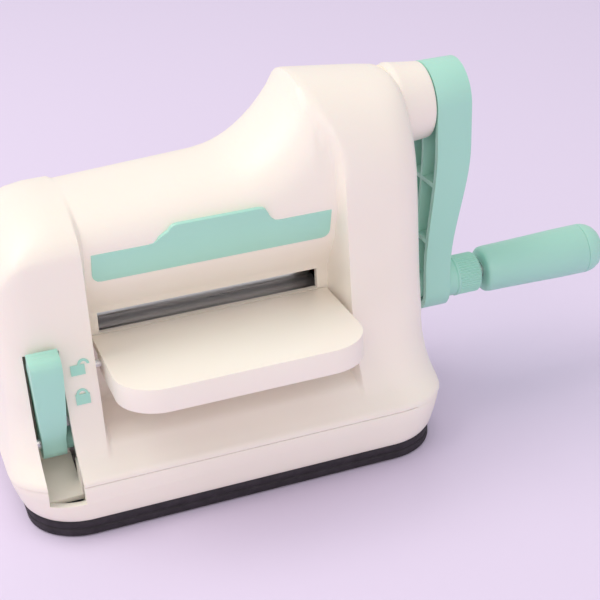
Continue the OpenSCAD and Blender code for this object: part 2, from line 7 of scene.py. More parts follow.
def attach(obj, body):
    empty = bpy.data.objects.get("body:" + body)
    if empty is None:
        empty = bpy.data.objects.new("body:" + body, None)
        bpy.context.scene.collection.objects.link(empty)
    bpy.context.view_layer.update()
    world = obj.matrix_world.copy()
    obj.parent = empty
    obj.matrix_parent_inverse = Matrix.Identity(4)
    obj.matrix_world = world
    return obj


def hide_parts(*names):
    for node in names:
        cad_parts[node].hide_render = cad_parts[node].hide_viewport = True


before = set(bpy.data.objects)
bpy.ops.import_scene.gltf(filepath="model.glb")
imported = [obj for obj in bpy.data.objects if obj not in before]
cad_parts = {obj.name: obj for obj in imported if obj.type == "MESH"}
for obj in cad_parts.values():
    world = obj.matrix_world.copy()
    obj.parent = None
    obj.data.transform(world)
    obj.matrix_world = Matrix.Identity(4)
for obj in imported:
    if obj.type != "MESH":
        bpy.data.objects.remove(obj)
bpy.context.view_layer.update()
scene = bpy.context.scene

# ---- Table, backdrop, lamps and camera -----------------------------------
# A plain lavender sheet under the machine, one large soft box over the left
# shoulder, a weak fill from the front, and an 84 mm lens looking down on it.
def colour(hex_code, alpha=1.0):
    parts = [int(hex_code[i:i + 2], 16) / 255 for i in (1, 3, 5)]
    return [c / 12.92 if c <= 0.04045 else ((c + 0.055) / 1.055) ** 2.4 for c in parts] + [alpha]


def node(tree, kind, settings=None, links=None):
    made = tree.nodes.new(kind)
    for key, value in (settings or {}).items():
        if key in made.inputs:
            made.inputs[key].default_value = value
        else:
            setattr(made, key, value)
    for socket, source in (links or {}).items():
        tree.links.new(source, made.inputs[socket])
    return made


def clear_selection():
    if bpy.context.object and bpy.context.object.mode != "OBJECT":
        bpy.ops.object.mode_set(mode="OBJECT")
    bpy.ops.object.select_all(action="DESELECT")


def new_material(name):
    made = bpy.data.materials.new(name)
    made.use_nodes = True
    made.node_tree.nodes.clear()
    return made, made.node_tree


paper, tree = new_material("lavender_paper_sweep")
grain = node(tree, "ShaderNodeTexNoise", {"Scale": 1400.0, "Detail": 3.0},
             {"Vector": node(tree, "ShaderNodeTexCoord").outputs["Object"]})
bump = node(tree, "ShaderNodeBump", {"Strength": 0.05, "Distance": 0.0002},
            {"Height": grain.outputs["Fac"]})
face = node(tree, "ShaderNodeBsdfPrincipled",
            {"Base Color": colour("#E4D9F1"), "Roughness": 0.85, "Specular IOR Level": 0.2},
            {"Normal": bump.outputs["Normal"]})
node(tree, "ShaderNodeOutputMaterial", None, {"Surface": face.outputs["BSDF"]})
clear_selection()
bpy.ops.mesh.primitive_plane_add(size=6, location=(0, 0, -0.0002))
sheet = bpy.context.object
sheet.name = "paper_sweep"
sheet.data.materials.append(paper)

world = bpy.data.worlds.new("studio_room")
scene.world = world
world.use_nodes = True
world.node_tree.nodes["Background"].inputs["Color"].default_value = colour("#FBF8FC")
world.node_tree.nodes["Background"].inputs["Strength"].default_value = 0.72


def soft_box(name, place, aim, width, height, power, tint):
    lamp = bpy.data.lights.new(name, "AREA")
    lamp.shape = "RECTANGLE"
    lamp.size = width
    lamp.size_y = height
    lamp.energy = power
    lamp.color = colour(tint)[:3]
    holder = bpy.data.objects.new(name, lamp)
    scene.collection.objects.link(holder)
    holder.location = place
    holder.rotation_euler = (Vector(aim) - Vector(place)).to_track_quat("-Z", "Y").to_euler()


soft_box("soft_box_over_left", (-0.75, 0.25, 1.25), (0, 0, 0.05), 1.1, 0.9, 9.6, "#FFFAF2")
soft_box("soft_box_front_fill", (-0.3, -1.3, 0.75), (0, 0, 0.06), 1.0, 0.7, 3.6, "#FFF6EC")

yaw, pitch, roll = radians(18.5), radians(26.0), radians(-3.6)
right = Vector((cos(yaw), -sin(yaw), 0))
lift = Vector((sin(yaw) * sin(pitch), cos(yaw) * sin(pitch), cos(pitch)))
ahead = Vector((sin(yaw) * cos(pitch), cos(yaw) * cos(pitch), -sin(pitch)))
cam_right = cos(roll) * right + sin(roll) * lift
cam_up = -sin(roll) * right + cos(roll) * lift
lens = bpy.data.cameras.new("studio_lens")
lens.sensor_width = 36
lens.lens = 36 * 1400 / 600
lens.clip_start = 0.01
camera = bpy.data.objects.new("studio_camera", lens)
scene.collection.objects.link(camera)
turn = Matrix((cam_right, cam_up, -ahead)).transposed()
camera.matrix_world = Matrix.Translation((-0.1102, -0.4428, 0.2754)) @ turn.to_4x4()
scene.camera = camera
scene.view_settings.view_transform = "Standard"

# ---- Housing -------------------------------------------------------------
# One hollow injection moulding in cream ABS with a 2.4 mm wall. The form is
# drawn as rings across the machine, from the left cheek over the bridge to the
# drive head. The slots are cut through it and their lips broken by a fine bevel.
def abs_plastic(name, tint, shade, rough, sheen_noise=0.05, grain_mm=0.22, bump_amount=0.10):
    # moulded ABS: faint cloudy tone from the melt, fine spark-eroded grain
    made, tree = new_material(name)
    place = node(tree, "ShaderNodeTexCoord").outputs["Object"]
    cloud = node(tree, "ShaderNodeTexNoise", {"Scale": 22.0, "Detail": 2.0}, {"Vector": place})
    tone = node(tree, "ShaderNodeValToRGB", None, {"Fac": cloud.outputs["Fac"]})
    tone.color_ramp.elements[0].position = 0.25
    tone.color_ramp.elements[0].color = colour(shade)
    tone.color_ramp.elements[1].position = 0.75
    tone.color_ramp.elements[1].color = colour(tint)
    grit = node(tree, "ShaderNodeTexNoise", {"Scale": 1000.0 / grain_mm / 3.0, "Detail": 2.0},
                {"Vector": place})
    gloss = node(tree, "ShaderNodeMapRange",
                 {"From Min": 0.3, "From Max": 0.7, "To Min": rough - sheen_noise,
                  "To Max": rough + sheen_noise}, {"Value": grit.outputs["Fac"]})
    dent = node(tree, "ShaderNodeBump", {"Strength": bump_amount, "Distance": 0.00005},
                {"Height": grit.outputs["Fac"]})
    skin = node(tree, "ShaderNodeBsdfPrincipled", {"IOR": 1.53, "Subsurface Weight": 0.06,
                "Subsurface Scale": 0.002},
                {"Base Color": tone.outputs["Color"], "Roughness": gloss.outputs["Result"],
                 "Normal": dent.outputs["Normal"]})
    node(tree, "ShaderNodeOutputMaterial", None, {"Surface": skin.outputs["BSDF"]})
    return made


cream_abs = abs_plastic("cream_abs_moulded", "#FAF3E8", "#F7EFE3", 0.42)
mint_abs = abs_plastic("mint_abs_moulded", "#AEE3D2", "#A9DFCE", 0.38)

tower_x, tower_y, recess_x = 76.0, 33.0, 44.0
crank_z, crank_l, hub_x, hub_r = 117.0, 72.5, 88.5, 13.85
grip_z = crank_z - crank_l


def clamp(v):
    return min(1.0, max(0.0, v))


def ease(v):
    v = clamp(v)
    return v * v * (3 - 2 * v)


def mix(a, b, s):
    return a + (b - a) * s


def crown_z(x):
    ridge = 107.6 + 0.055 * (clamp((x + 44) / 90) * 90)
    reach = clamp((x - 4) / 34) ** 2.3
    top = mix(ridge, 135.4, reach) - max(0, x - 40) * 0.12
    left = max(0.0, -x - (tower_x - 24))
    far = max(0.0, x - (tower_x - 4))
    return top - (24 - sqrt(max(0, 576 - left * left))) - (4 - sqrt(max(0, 16 - far * far)))


def in_tower(x):
    return ease((abs(x) - recess_x) / 1.8)


def half_profile(x):
    tower = [(47.6, 20), (47.6, 20.9), (47.1, 21.9), (45.6, 23.2), (43.6, 25), (41.6, 27), (38.6, 32),
             (36, 39), (34.9, 44), (34.3, 48), (33.4, 57), (33.1, 62), (33, 66.2), (33, 74),
             (33, 82), (33, 88)]
    recess = [(47.6, 20), (47.6, 20.9), (47.1, 21.9), (45.6, 23.2), (43.6, 25), (41.2, 27),
              (37.5, 30.6), (20.5, 34.2), (16.4, 35.6), (14.6, 38), (14.2, 52), (14.2, 56),
              (14.6, 66.6), (19.4, 74), (24.4, 82), (26.4, 88)]
    s = in_tower(x)
    top = crown_z(x)
    pts = []
    for i, (a, b) in enumerate(zip(recess, tower)):
        pts.append((mix(a[0], b[0], s), min(mix(a[1], b[1], s), top - 10 - (16 - i) * 0.45)))
    base = min(94, top - 9)
    steps = 10
    for j in range(steps):
        a = pi / 2 * j / steps
        z = base + (top - base) * sin(a) ** 0.92
        if x > 0:
            part = ease((x - (recess_x - 10 * ease((z - 106) / 30))) / (1.8 + 5 * ease((z - 100) / 30)))
        else:
            part = s
        pts.append((mix(28.6, tower_y, part) * cos(a) ** 0.86, z))
    pts.append((0.0, top))
    return pts


def ring(x):
    half = half_profile(x)
    whole = [(-d, z) for d, z in half] + [(d, z) for d, z in reversed(half[:-1])]
    out = []
    for y, z in whole:
        low = clamp((48 - z) / 28)
        r = mix(12, 20, low)
        e = max(0.0, abs(x) - (tower_x - r))
        take = r - sqrt(max(0.0, r * r - e * e))
        out.append(Vector((x * (1 + 0.046 * low * low), y * (1 - take / (33 + 14.6 * low * low)), z))
                   / 1000)
    return out


stations = [-76, -75.8, -75.2, -74, -72, -69, -65, -60, -54, -49, -46.6, -45.7, -45.1, -44.5, -43.9, -43,
            -36, -26, -14, -2, 6, 11, 14, 17, 20, 23, 26, 29, 32, 35, 38, 40, 42, 43.2, 44, 44.6, 45.2,
            45.8, 46.8, 50, 56, 62, 66, 69, 71.5, 73.5, 75, 75.7, 76]
clear_selection()
bpy.ops.mesh.primitive_circle_add(vertices=len(ring(0)), radius=0.05, rotation=(0, pi / 2, 0))
housing = bpy.context.object
housing.name = "housing_moulding"
bpy.ops.object.transform_apply(location=False, rotation=True, scale=False)
bpy.ops.object.mode_set(mode="EDIT")
mesh = bmesh.from_edit_mesh(housing.data)
mesh.verts.ensure_lookup_table()
loop = list(mesh.verts)
first = ring(stations[0])
# the circle is opened at the floor, and each next ring is pulled out of the last one
mesh.edges.remove([e for e in mesh.edges if set(e.verts) == {loop[0], loop[-1]}][0])
for vert, spot in zip(loop, first):
    vert.co = spot
rows = [loop]
for x in stations[1:]:
    links = [e for e in mesh.edges if e.verts[0] in rows[-1] and e.verts[1] in rows[-1]]
    grown = bmesh.ops.extrude_edge_only(mesh, edges=links)
    fresh = [g for g in grown["geom"] if isinstance(g, bmesh.types.BMVert)]
    match = {}
    for vert in fresh:
        for e in vert.link_edges:
            other = e.other_vert(vert)
            if other not in fresh:
                match[other] = vert
    row = [match[v] for v in rows[-1]]
    for vert, spot in zip(row, ring(x)):
        vert.co = spot
    rows.append(row)
# the two cheeks are closed with a ladder of faces
for row in (rows[0], rows[-1]):
    count = len(row)
    for i in range(count // 2):
        corners = [row[i], row[i + 1], row[count - 2 - i], row[count - 1 - i]]
        if len(set(corners)) == 4:
            mesh.faces.new(corners)
        elif len(set(corners)) == 3:
            mesh.faces.new(list(dict.fromkeys(corners)))
bmesh.ops.recalc_face_normals(mesh, faces=mesh.faces[:])
bmesh.update_edit_mesh(housing.data)
bpy.ops.object.mode_set(mode="OBJECT")


def dress(piece, coat):
    piece.data.materials.clear()
    piece.data.materials.append(coat)
    for f in piece.data.polygons:
        f.material_index = 0


def finish_modifiers(piece):
    clear_selection()
    bpy.context.view_layer.objects.active = piece
    piece.select_set(True)
    for mod in list(piece.modifiers):
        bpy.ops.object.modifier_apply(modifier=mod.name)
    piece.select_set(False)


# outward check: the top of the bridge has to face up
top_face = max(housing.data.polygons, key=lambda f: f.center.z - abs(f.center.x) * 0.01)
if top_face.normal.z < 0:
    clear_selection()
    bpy.context.view_layer.objects.active = housing
    housing.select_set(True)
    bpy.ops.object.mode_set(mode="EDIT")
    bpy.ops.mesh.select_all(action="SELECT")
    bpy.ops.mesh.flip_normals()
    bpy.ops.object.mode_set(mode="OBJECT")
smooth = housing.modifiers.new("soft_form", "SUBSURF")
smooth.levels = smooth.render_levels = 1
smooth.subdivision_type = "SIMPLE"
thick = housing.modifiers.new("wall", "SOLIDIFY")
thick.thickness = 0.0024
thick.offset = -1
finish_modifiers(housing)


def cutter(name, low, high, round_mm, axis):
    # a round-cornered block, its long edges bevelled along one axis
    clear_selection()
    bpy.ops.mesh.primitive_cube_add(size=1, location=[(a + b) / 2000 for a, b in zip(low, high)],
                                    scale=[(b - a) / 1000 for a, b in zip(low, high)])
    made = bpy.context.object
    made.name = name
    bpy.ops.object.transform_apply(location=True, rotation=True, scale=True)
    if round_mm:
        bpy.ops.object.mode_set(mode="EDIT")
        shape = bmesh.from_edit_mesh(made.data)
        for e in shape.edges:
            run = e.verts[0].co - e.verts[1].co
            e.select_set(abs(run[axis]) > 0.9 * run.length)
        shape.select_flush_mode()
        bmesh.update_edit_mesh(made.data)
        bpy.ops.mesh.bevel(offset=round_mm / 1000, segments=6)
        bpy.ops.object.mode_set(mode="OBJECT")
    return made


def cut(piece, tool, mode="DIFFERENCE"):
    knife = piece.modifiers.new("cut", "BOOLEAN")
    knife.operation = mode
    knife.solver = "MANIFOLD"
    knife.object = tool
    finish_modifiers(piece)
    bpy.data.objects.remove(tool, do_unlink=True)


def rod(sides, radius, depth, centre):
    # a round bar lying along X, all in metres
    clear_selection()
    bpy.ops.mesh.primitive_cylinder_add(vertices=sides, radius=radius, depth=depth, location=centre,
                                        rotation=(0, pi / 2, 0))
    made = bpy.context.object
    bpy.ops.object.transform_apply(location=True, rotation=True, scale=True)
    return made


cut(housing, cutter("feed_slot", (-40, -60, 58.3), (40, 60, 66.3), 2.2, 1))
cut(housing, cutter("lever_slot", (-68.9, -60, 12), (-57.1, -26, 64.8), 1.2, 1))
# hinge pin eyes of the feed tables
hinge_y, hinge_z = 0.027, 0.054
for side in (-1, 1):
    for end in (-1, 1):
        eye = rod(24, 0.00153, 0.008, (side * 0.0465, end * hinge_y, hinge_z))
        cut(housing, eye)

# the hub boss is spun round the crank axis and welded to the cheek
bore_r = 7.8
clear_selection()
bpy.ops.mesh.primitive_circle_add(vertices=72, radius=0.0146, location=(0.0738, 0, crank_z / 1000),
                                  rotation=(0, pi / 2, 0))
boss = bpy.context.object
bpy.ops.object.transform_apply(location=True, rotation=True, scale=True)
bpy.ops.object.mode_set(mode="EDIT")
bpy.ops.mesh.select_all(action="SELECT")
steps = [(73.8, 14.6), (74.9, 14.6), (75.8, 15.2), (76.8, 15.1), (78.0, 14.9), (79.6, 14.7),
         (81.6, 14.45), (84.0, 14.2), (87.6, 13.87), (88.15, 13.78), (88.42, 13.6), (88.5, 13.35)]
for (x0, r0), (x1, r1) in zip(steps, steps[1:]):
    bpy.ops.mesh.extrude_region_move(TRANSFORM_OT_translate={"value": ((x1 - x0) / 1000, 0, 0)})
    k = r1 / r0
    bpy.ops.transform.resize(value=(1, k, k), center_override=(x1 / 1000, 0, crank_z / 1000))
bpy.ops.mesh.extrude_region_move(TRANSFORM_OT_translate={"value": (0, 0, 0)})
bpy.ops.transform.resize(value=(1, bore_r / 13.35, bore_r / 13.35),
                         center_override=(hub_x / 1000, 0, crank_z / 1000))
bpy.ops.mesh.extrude_region_move(TRANSFORM_OT_translate={"value": (-0.0147, 0, 0)})
bpy.ops.object.mode_set(mode="OBJECT")
shape = bmesh.new()
shape.from_mesh(boss.data)
rims = [e for e in shape.edges if e.is_boundary]
bmesh.ops.bridge_loops(shape, edges=rims)
bmesh.ops.recalc_face_normals(shape, faces=shape.faces[:])
shape.to_mesh(boss.data)
shape.free()
passage = rod(72, bore_r / 1000, 0.03, (0.079, 0, crank_z / 1000))
cut(housing, passage)
cut(housing, boss, "UNION")


def soften(piece, width_mm, angle=35, segments=2, keep_angle=40):
    edge = piece.modifiers.new("edge", "BEVEL")
    edge.width = width_mm / 1000
    edge.segments = segments
    edge.limit_method = "ANGLE"
    edge.angle_limit = radians(angle)
    edge.use_clamp_overlap = True
    finish_modifiers(piece)
    clear_selection()
    bpy.context.view_layer.objects.active = piece
    piece.select_set(True)
    bpy.ops.object.shade_smooth_by_angle(angle=radians(keep_angle))
    piece.select_set(False)


soften(housing, 0.35, 50, 2, 45)
dress(housing, cream_abs)
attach(housing, "machine")
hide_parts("housing")

# ---- Base ring -----------------------------------------------------------
# The lower half of the moulding, a cream ABS band that leans out to the
# shoulder line and takes the screws of the floor plate. Its lip stops 0.3 mm
# under the housing, which leaves the fine parting line.
def rounded_band(name, levels, wall_mm):
    # levels: (half width, half depth, corner radius, height), all in mm
    clear_selection()
    bpy.ops.mesh.primitive_circle_add(vertices=96, radius=0.05)
    made = bpy.context.object
    made.name = name
    bpy.ops.object.mode_set(mode="EDIT")
    shape = bmesh.from_edit_mesh(made.data)
    shape.verts.ensure_lookup_table()

    def spots(hx, hy, r, z):
        out = []
        for i in range(96):
            quarter, k = divmod(i, 24)
            a = (k / 23) * pi / 2 + quarter * pi / 2
            cx = (hx - r) * (1 if quarter in (0, 3) else -1)
            cy = (hy - r) * (1 if quarter in (0, 1) else -1)
            out.append(Vector((cx + r * cos(a), cy + r * sin(a), z)) / 1000)
        return out

    rows = [list(shape.verts)]
    for v, p in zip(rows[0], spots(*levels[0])):
        v.co = p
    for level in levels[1:]:
        row = [shape.verts.new(p) for p in spots(*level)]
        for i in range(96):
            j = (i + 1) % 96
            shape.faces.new((rows[-1][i], rows[-1][j], row[j], row[i]))
        rows.append(row)
    bmesh.ops.recalc_face_normals(shape, faces=shape.faces[:])
    bmesh.update_edit_mesh(made.data)
    bpy.ops.object.mode_set(mode="OBJECT")
    probe = max(made.data.polygons, key=lambda f: f.center.x)
    if probe.normal.x < 0:
        made.data.flip_normals()
    solid = made.modifiers.new("wall", "SOLIDIFY")
    solid.thickness = wall_mm / 1000
    solid.offset = -1
    finish_modifiers(made)
    return made


base_ring = rounded_band("base_ring_moulding",
                         [(75.0, 46.0, 20, 6.3), (75.9, 46.4, 20, 7.6), (76.8, 46.7, 20, 10.0),
                          (77.8, 47.1, 20.4, 13.0), (78.7, 47.4, 20.8, 16.0), (79.2, 47.6, 21, 18.6),
                          (79.0, 47.4, 21, 19.7)], 2.6)
cut(base_ring, cutter("lever_notch", (-68.9, -60, 13.4), (-57.1, -40, 30), 1.6, 1))
soften(base_ring, 0.25, 45)
dress(base_ring, cream_abs)
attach(base_ring, "machine")
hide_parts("base_ring")

# ---- Rubber foot ---------------------------------------------------------
# A black rubber gasket, moulded in one ring, that seals on the table. Its
# outer wall has a fine groove along the middle and a rounded lower lip.
rubber, tree = new_material("black_nitrile_rubber")
place = node(tree, "ShaderNodeTexCoord").outputs["Object"]
dust = node(tree, "ShaderNodeTexNoise", {"Scale": 260.0, "Detail": 5.0}, {"Vector": place})
tone = node(tree, "ShaderNodeValToRGB", None, {"Fac": dust.outputs["Fac"]})
tone.color_ramp.elements[0].position = 0.35
tone.color_ramp.elements[0].color = colour("#221C24")
tone.color_ramp.elements[1].position = 0.8
tone.color_ramp.elements[1].color = colour("#332C35")
pores = node(tree, "ShaderNodeBump", {"Strength": 0.2, "Distance": 0.00008},
             {"Height": dust.outputs["Fac"]})
skin = node(tree, "ShaderNodeBsdfPrincipled", {"Roughness": 0.68, "IOR": 1.5},
            {"Base Color": tone.outputs["Color"], "Normal": pores.outputs["Normal"]})
node(tree, "ShaderNodeOutputMaterial", None, {"Surface": skin.outputs["BSDF"]})

foot = rounded_band("rubber_foot_gasket",
                    [(74.3, 45.3, 19.4, 0.02), (74.8, 45.8, 19.8, 0.35), (75, 46, 20, 1.0),
                     (75, 46, 20, 2.8), (74.6, 45.6, 19.6, 3.0), (74.6, 45.6, 19.6, 3.5),
                     (75, 46, 20, 3.7), (75, 46, 20, 5.6), (74.6, 45.6, 19.6, 6.2)], 8.6)
for v in foot.data.vertices:
    v.co.z = min(max(v.co.z, 0.00002), 0.00625)
soften(foot, 0.15, 60)
dress(foot, rubber)
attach(foot, "machine")
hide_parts("rubber_foot")

# ---- Accent panels -------------------------------------------------------
# Mint ABS labels with a stepped tab, pressed into a shallow seat on the front
# and rear of the bridge. A narrow chamfer runs round the face.
def panel_outline():
    w = recess_x - 2.2
    pts = [(-w + 3, 0), (w - 3, 0), (w - 1.6, 0.3), (w - 0.9, 0.9), (w - 0.3, 1.7), (w, 3), (w, 11.9),
           (22.9, 11.9), (21.5, 12.15), (20.4, 12.9), (19.7, 13.8), (18.6, 16.0), (17.9, 17.3),
           (16.9, 18.1), (15.4, 18.4)]
    mirror = [(-x + (2.8 if y > 15 else 0.6 if y > 12 else 0), y) for x, y in reversed(pts[6:])]
    left = [(-w, 3), (-w + 0.3, 1.7), (-w + 0.9, 0.9), (-w + 1.6, 0.3)]
    return pts + mirror + left


for end, label, node_name in ((-1, "front_accent_label", "front_panel"),
                              (1, "rear_accent_label", "rear_panel")):
    clear_selection()
    outline = panel_outline()
    bpy.ops.mesh.primitive_circle_add(vertices=len(outline), radius=0.01, fill_type="NGON")
    panel = bpy.context.object
    panel.name = label
    for v, (x, y) in zip(panel.data.vertices, outline):
        v.co = (x / 1000, y / 1000, 0)
    bpy.ops.object.mode_set(mode="EDIT")
    bpy.ops.mesh.select_all(action="SELECT")
    bpy.ops.mesh.normals_make_consistent(inside=False)
    bpy.ops.mesh.extrude_region_move(TRANSFORM_OT_translate={"value": (0, 0, 0.00145)})
    bpy.ops.mesh.select_all(action="SELECT")
    bpy.ops.mesh.normals_make_consistent(inside=False)
    bpy.ops.object.mode_set(mode="OBJECT")
    lean = (Matrix.Rotation(0 if end < 0 else pi, 4, "Z") @ Matrix.Translation((0, -0.0249, 0.0824))
            @ Matrix.Rotation(radians(90 + 18.4), 4, "X") @ Matrix.Translation((0, 0, -0.0013)))
    panel.data.transform(lean)
    soften(panel, 0.22, 40)
    dress(panel, mint_abs)
    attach(panel, "machine")
    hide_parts(node_name)

# ---- Feed tables ---------------------------------------------------------
# Two fold-up trays in cream ABS, a flat deck with a skirt round three sides
# and ribs under it, hung on steel pins. The frame's own shape, edges rounded.
def soft_copy(node_name, name):
    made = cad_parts[node_name].copy()
    made.data = made.data.copy()
    made.name = name
    scene.collection.objects.link(made)
    made.data.transform(made.matrix_world)
    made.parent = None
    made.matrix_world = Matrix()
    clear_selection()
    bpy.context.view_layer.objects.active = made
    made.select_set(True)
    bpy.ops.object.mode_set(mode="EDIT")
    bpy.ops.mesh.select_all(action="SELECT")
    bpy.ops.mesh.remove_doubles(threshold=0.00001)
    bpy.ops.mesh.dissolve_limited(angle_limit=radians(1))
    bpy.ops.object.mode_set(mode="OBJECT")
    return made


front_tray = soft_copy("front_table", "front_feed_table")
rear_tray = soft_copy("rear_table", "rear_feed_table")
for tray, body, node_name in ((front_tray, "front_tray", "front_table"),
                              (rear_tray, "rear_tray", "rear_table")):
    soften(tray, 0.9, 50, 3)
    dress(tray, cream_abs)
    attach(tray, body)
    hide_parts(node_name)

# ---- Suction lever -------------------------------------------------------
# A mint ABS lever with a flared thumb pad over a tapering blade, turning on a
# steel pin in the lever well. Pushed down and forward it draws the membrane up.
clear_selection()
lever_x = -63.0
side_line = [(-41.6, 60.2), (-41.4, 62.6), (-40.9, 64.2), (-39.9, 65.2), (-37.4, 66.0), (-34.9, 66.7),
             (-34.3, 65.4), (-34.1, 63.4), (-31.6, 60.9), (-29.4, 51), (-25.4, 36), (-22.4, 31.6),
             (-21.6, 27), (-23.6, 24.2), (-27, 23), (-30.4, 24.2), (-32.6, 27.2), (-33.4, 31.6),
             (-38.2, 40), (-39.6, 46), (-40.8, 54)]
bpy.ops.mesh.primitive_circle_add(vertices=len(side_line), radius=0.01, fill_type="NGON")
lever = bpy.context.object
lever.name = "suction_lever_moulding"
for v, (y, z) in zip(lever.data.vertices, side_line):
    v.co = ((lever_x - 5.2) / 1000, y / 1000, z / 1000)
bpy.ops.object.mode_set(mode="EDIT")
bpy.ops.mesh.select_all(action="SELECT")
for _ in range(4):
    bpy.ops.mesh.extrude_region_move(TRANSFORM_OT_translate={"value": (0.0026, 0, 0)})
shape = bmesh.from_edit_mesh(lever.data)
for v in shape.verts:
    # the blade narrows below the thumb pad
    s = ease((v.co.z * 1000 - 30) / 32)
    v.co.x = (lever_x + (v.co.x * 1000 - lever_x) * mix(0.78, 1.0, s)) / 1000
bmesh.ops.recalc_face_normals(shape, faces=shape.faces[:])
bmesh.update_edit_mesh(lever.data)
bpy.ops.object.mode_set(mode="OBJECT")
pin_y, pin_z = -0.027, 0.029
cam = rod(48, 0.0048, 0.0046, (-0.0569, -0.0255, pin_z))
cut(lever, cam, "UNION")
eye = rod(48, 0.00255, 0.03, (-0.06, pin_y, pin_z))
cut(lever, eye)
# shallow grip grooves across the top of the pad
for i in range(3):
    groove = cutter("groove", (lever_x - 3.4, -40.2 + i * 1.7, 64.6 + i * 0.5),
                    (lever_x + 3.4, -39.6 + i * 1.7, 67.6), 0, 2)
    groove.data.transform(Matrix.Translation((0, 0, 0.0007)))
    cut(lever, groove)
soften(lever, 0.45, 35, 3)
dress(lever, mint_abs)
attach(lever, "lever")
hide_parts("suction_lever")

# ---- Lever well ----------------------------------------------------------
# A cream ABS trough let into the front of the left cheek, with a sloping floor
# and two thin side walls. The right wall is open where the cam passes.
def trough_block(low, high):
    return cutter("trough", low, high, 0, 2)


well = trough_block((-69.7, -40.0, 9), (-69.05, -19.5, 24))
for low, high in (((-69.7, -31.0, 23), (-69.05, -19.5, 64.0)), ((-57.0, -40.0, 9), (-56.35, -33.6, 24)),
                  ((-57.0, -32.6, 36), (-56.35, -19.5, 64.0)), ((-69.5, -20.6, 9), (-56.5, -19.5, 64.0))):
    cut(well, trough_block(low, high), "UNION")
ramp = trough_block((-69.4, -40.5, 11.6), (-56.6, -19.8, 13.3))
for v in ramp.data.vertices:
    v.co.z += 0.0055 * clamp((v.co.y * 1000 + 40) / 20)
cut(well, ramp, "UNION")
soften(well, 0.15, 60)
dress(well, cream_abs)
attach(well, "machine")
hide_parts("lever_well")

# ---- Crank arm -----------------------------------------------------------
# The mint arm is a channel moulding, open to the machine, that bends inwards
# from the hub to the grip shank. Cross ribs and a centre web stiffen it.
def arm_shift(z, top, low):
    v = (crank_z + hub_r + 1 - z) / (crank_z + hub_r + 1 - (grip_z - 11))
    return mix(top, low, ease((v - 0.31) / 0.49))


def arm_shell(name, e, x_top, x_low, out_top, out_low):
    # side outline of two tangent circles, filled across in a ladder of faces
    r0, r1 = hub_r - e, 9.9 - e
    s = (r0 - r1) / crank_l
    tilt = atan2(s, sqrt(1 - s * s))
    pts = []
    for i in range(33):
        a = -tilt + (pi + 2 * tilt) * i / 32
        pts.append((r0 * cos(a), crank_z + r0 * sin(a)))
    for i in range(1, 20):
        k = i / 20
        pts.append((mix(-r0 * cos(tilt), -r1 * cos(tilt), k),
                    mix(crank_z - r0 * sin(tilt), grip_z - r1 * sin(tilt), k)))
    for i in range(25):
        a = pi + tilt + (pi - 2 * tilt) * i / 24
        pts.append((r1 * cos(a), grip_z + r1 * sin(a)))
    for i in range(1, 20):
        k = i / 20
        pts.append((mix(r1 * cos(tilt), r0 * cos(tilt), k),
                    mix(grip_z - r1 * sin(tilt), crank_z - r0 * sin(tilt), k)))
    clear_selection()
    bpy.ops.mesh.primitive_circle_add(vertices=len(pts), radius=0.01, fill_type="NOTHING")
    made = bpy.context.object
    made.name = name
    bpy.ops.object.mode_set(mode="EDIT")
    shape = bmesh.from_edit_mesh(made.data)
    shape.verts.ensure_lookup_table()
    rim = list(shape.verts)
    for v, (y, z) in zip(rim, pts):
        v.co = Vector((arm_shift(z, x_top, x_low), y, z)) / 1000
    outer = [shape.verts.new(Vector((arm_shift(z, out_top, out_low), y, z)) / 1000) for y, z in pts]
    n = len(pts)
    for i in range(n):
        j = (i + 1) % n
        shape.faces.new((rim[i], rim[j], outer[j], outer[i]))
    # the flat sides are bridged across in a ladder so that they follow the bend
    for row in (rim, outer):
        left = [row[k % n] for k in range(16, 16 + 17 + 19 + 12 + 1)]
        other = [row[k % n] for k in range(16, 16 - (17 + 19 + 12) - 1, -1)]
        for a, b, c, d in zip(left, left[1:], other[1:], other):
            ring4 = []
            for v in (a, b, c, d):
                if v not in ring4:
                    ring4.append(v)
            if len(ring4) > 2 and shape.faces.get(ring4) is None:
                shape.faces.new(ring4)
    bmesh.ops.recalc_face_normals(shape, faces=shape.faces[:])
    bmesh.update_edit_mesh(made.data)
    bpy.ops.object.mode_set(mode="OBJECT")
    return made


arm = arm_shell("crank_arm_moulding", 0, hub_x + 0.4, 84.6, hub_x + 13.6, 94.6)
soften(arm, 0.9, 50, 4)
channel = arm_shell("channel", 2.2, hub_x - 1.1, 83.1, hub_x + 11.4, 92.4)
for size, z in ((8.0, crank_z), (5.6, grip_z)):
    core = rod(56, size / 1000, 0.04, (0.095, 0, z / 1000))
    cut(channel, core)
for z in (64.5, 86.5):
    cut(channel, cutter("rib", (80, -14, z), (110, 14, z + 1.6), 0, 2))
cut(channel, cutter("web", (80, -0.8, 49.5), (110, 0.8, 110), 0, 2))
cut(arm, channel)
seat = rod(56, 0.0061, 0.004, (hub_x / 1000 + 0.0132, 0, 0.117))
cut(arm, seat)
half_square = 4.03
cut(arm, cutter("square_seat", (hub_x - 1, -half_square, crank_z - half_square),
                (hub_x + 9.6, half_square, crank_z + half_square), 0, 0))
bore = rod(40, 0.00302, 0.03, (0.092, 0, grip_z / 1000))
cut(arm, bore)
soften(arm, 0.2, 60, 2)
dress(arm, mint_abs)
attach(arm, "crank")
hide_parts("crank_arm")

